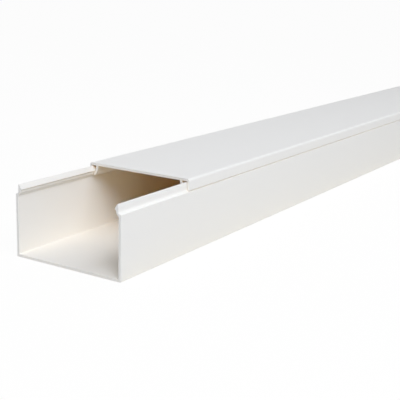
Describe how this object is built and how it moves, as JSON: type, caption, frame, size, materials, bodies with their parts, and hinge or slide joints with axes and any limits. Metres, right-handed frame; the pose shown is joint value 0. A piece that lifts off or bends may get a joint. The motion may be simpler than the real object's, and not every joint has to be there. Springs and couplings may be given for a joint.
{
  "type": "cord cover raceway",
  "caption": "Rectangular cable trunking: an open U-shaped wall channel with barbed lips, and a flat lid that clips over them and slides along.",
  "frame": {"origin": "middle of the base channel's back face, the face that goes against the wall", "axes": "+X along the length, from the end where the open channel shows towards the far end, +Y across the width, +Z from the back towards the lid"},
  "size_m": [2.087, 0.1, 0.06],
  "materials": {
    "white_pvc": "satin, extruded white rigid PVC"
  },
  "bodies": {
    "base": {"base_channel": "white_pvc"},
    "lid": {"lid": "white_pvc"}
  },
  "joints": [
    {"name": "lid_slide", "type": "slide", "parent": "base", "child": "lid", "axis": [1, 0, 0], "range_m": [-0.087, 1.863]}
  ]
}
